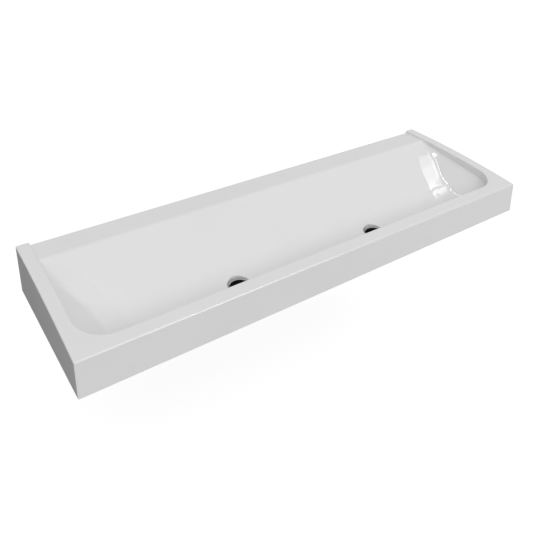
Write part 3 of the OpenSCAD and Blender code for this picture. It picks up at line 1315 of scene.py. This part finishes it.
def noise(tree, space, scale, detail):
    """Noise between 0 and 1."""
    return add_node(tree, "TexNoise", Vector=space, Scale=scale, Detail=detail).outputs["Fac"]


def spread(tree, factor, low, high):
    """Spreads the middle of a noise between two values."""
    node = add_node(tree, "MapRange", Value=factor, From_Min=0.3, From_Max=0.7,
                    To_Min=low, To_Max=high)
    return node.outputs["Result"]


def tint(tree, factor, one, other):
    """A colour between two colours."""
    node = tree.nodes.new("ShaderNodeMix")
    node.data_type = "RGBA"
    feed(tree, node, A=(*one, 1), B=(*other, 1), Factor=spread(tree, factor, 0, 1))
    return node.outputs["Result"]


def bump(tree, height, rise):
    """A bump whose full height is rise, in metres."""
    return add_node(tree, "Bump", Height=height, Strength=1, Distance=rise).outputs["Normal"]


print("finish helpers:", [helper.__name__ for helper in (noise, spread, tint, bump)])

# %% [markdown]
# The casting has a white gelcoat: a glossy skin of resin that was sprayed into the mould. Up close
# it has the faint waviness called orange peel and a slightly cloudy white. Both are kept so weak
# that they show only in a reflection or from near by.

# %% Gelcoat


def gelcoat():
    finish, tree, shader = new_finish("white_gelcoat", IOR=1.5)
    space = object_space(tree)
    cloud = noise(tree, space, scale=5, detail=3)
    sheen = noise(tree, space, scale=11, detail=2)
    wave = bump(tree, noise(tree, space, scale=14, detail=1), rise=0.00006)
    peel = add_node(tree, "Bump", Height=noise(tree, space, scale=260, detail=2),
                    Strength=1, Distance=0.00001, Normal=wave)
    feed(tree, shader,
         Base_Color=tint(tree, cloud, (0.865, 0.867, 0.866), (0.885, 0.886, 0.884)),
         Roughness=spread(tree, sheen, 0.03, 0.06),
         Normal=peel.outputs["Normal"])
    return finish


white_gelcoat = gelcoat()
print("made", white_gelcoat.name)

# %% [markdown]
# The waste's flange and the upper part of its dish are brass with a grey chrome skin, and their
# marks run round because they were polished as the piece turned. Lower down, the dish, the bore
# and the cross are dull, and their colour is painted shade: nearly black, for the darkness deep in
# the hole.

# %% Chrome, and the painted shade of the bore


def chrome():
    finish, tree, shader = new_finish("polished_chrome", Metallic=1)
    marks = noise(tree, turned_space(tree, (0.4, 0.4, 6)), scale=1, detail=4)
    feed(tree, shader,
         Base_Color=tint(tree, marks, (0.4, 0.405, 0.41), (0.46, 0.465, 0.465)),
         Roughness=spread(tree, marks, 0.12, 0.24),
         Normal=bump(tree, marks, rise=0.00001))
    return finish


def speckled(name, colour, rough, relief, **values):
    """A finish of three noises. Each is given as its scale, its detail and what it makes."""
    finish, tree, shader = new_finish(name, **values)
    space = object_space(tree)
    feed(tree, shader,
         Base_Color=tint(tree, noise(tree, space, *colour[:2]), *colour[2:]),
         Roughness=spread(tree, noise(tree, space, *rough[:2]), *rough[2:]),
         Normal=bump(tree, noise(tree, space, *relief[:2]), *relief[2:]))
    return finish


polished_chrome = chrome()
# Painted shade: a nearly black colour that stands for the darkness deep in the waste's hole.
painted_shade_finish = speckled(
    "painted_shade_bore", colour=(600, 3, (0.003, 0.003, 0.0032), (0.008, 0.008, 0.008)),
    rough=(600, 3, 0.5, 0.75), relief=(600, 3, 0.0001), Specular_IOR_Level=0.05)
print("made", polished_chrome.name, "and", painted_shade_finish.name)

# %% [markdown]
# The small parts have the finishes of plumbing and hardware: matt rubber, waxy white nylon, brass
# with a cast skin, and zinc plating with its faint bluish and yellowish patches.

# %% Rubber, nylon, brass and zinc
black_rubber = speckled(
    "black_rubber", colour=(900, 3, (0.02, 0.02, 0.022), (0.05, 0.05, 0.052)),
    rough=(900, 3, 0.55, 0.85), relief=(900, 3, 0.00006), Specular_IOR_Level=0.3)
white_nylon = speckled(
    "white_nylon", colour=(120, 2, (0.76, 0.75, 0.7), (0.83, 0.825, 0.79)),
    rough=(300, 2, 0.32, 0.5), relief=(700, 2, 0.00003), IOR=1.53)
cast_brass = speckled(
    "cast_brass", colour=(90, 4, (0.58, 0.41, 0.19), (0.76, 0.57, 0.28)),
    rough=(90, 4, 0.48, 0.26), relief=(800, 3, 0.00006), Metallic=1)
zinc_steel = speckled(
    "zinc_steel", colour=(140, 3, (0.55, 0.58, 0.64), (0.69, 0.69, 0.66)),
    rough=(420, 3, 0.22, 0.42), relief=(1200, 2, 0.00002), Metallic=1)
print("made", [made.name for made in (black_rubber, white_nylon, cast_brass, zinc_steel)])

# %% Give each piece its finish


def mark_turned(piece):
    """Writes on each vertex its direction from the axis and its way along the outline, in mm."""
    marks = piece.data.attributes.new("turned", "FLOAT_VECTOR", "POINT")
    for vertex, mark in zip(piece.data.vertices, marks.data):
        x, y, z = vertex.co
        radius = math.hypot(x, y)
        mark.vector = (x / (radius or 1), y / (radius or 1), (radius + z) / MM)


# How far the painted shade reaches past the dish and the bore, in mm.
dish_slack, bore_slack = 1, 0.5


def in_painted_shade(face):
    """Whether a face lies in the waste's lower dish, bore or cross, where shade is painted."""
    radius = math.hypot(face.center.x, face.center.y) / MM
    in_dish = radius - face.center.z / MM < dish_shift + dish_slack and radius < painted_shade_radius
    return in_dish or radius < tail_bore + bore_slack


mark_turned(waste)
waste.data.materials.append(polished_chrome)
waste.data.materials.append(painted_shade_finish)
# Faces deep in the hole get the nearly black painted shade.
for face in waste.data.polygons:
    face.material_index = int(in_painted_shade(face))
trough.data.materials.append(white_gelcoat)
for piece, finish in [
    (seal, black_rubber), (gasket, black_rubber), (slip, white_nylon), (collar, white_nylon),
    (back_nut, cast_brass), (stud, zinc_steel), (washer, zinc_steel), (stud_nut, zinc_steel),
]:
    piece.data.materials.append(finish)
print("dark faces of a waste:", sum(face.material_index for face in waste.data.polygons))

# %% Seat every piece
for pattern in (waste, seal, gasket, slip, back_nut, stud, collar, washer, stud_nut):
    take(pattern)
    bpy.ops.object.shade_smooth_by_angle(angle=smooth_angle)
seat_at_wastes(waste, "chrome_waste", "waste")
seat_at_wastes(seal, "rubber_seal", "flange_seal")
seat_at_wastes(gasket, "rubber_gasket", "back_gasket")
seat_at_wastes(slip, "nylon_slip_washer", "slip_washer")
seat_at_wastes(back_nut, "brass_back_nut", "back_nut")
seat_at_studs(stud, "steel_stud", "wall_stud")
seat_at_studs(collar, "nylon_collar", "stud_collar")
seat_at_studs(washer, "steel_washer", "stud_washer")
seat_at_studs(stud_nut, "steel_nut", "stud_nut")
nothing_selected()
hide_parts("trough_body")
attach(trough, "root")
lit_by_edge.objects.link(trough)
print("pieces seated")
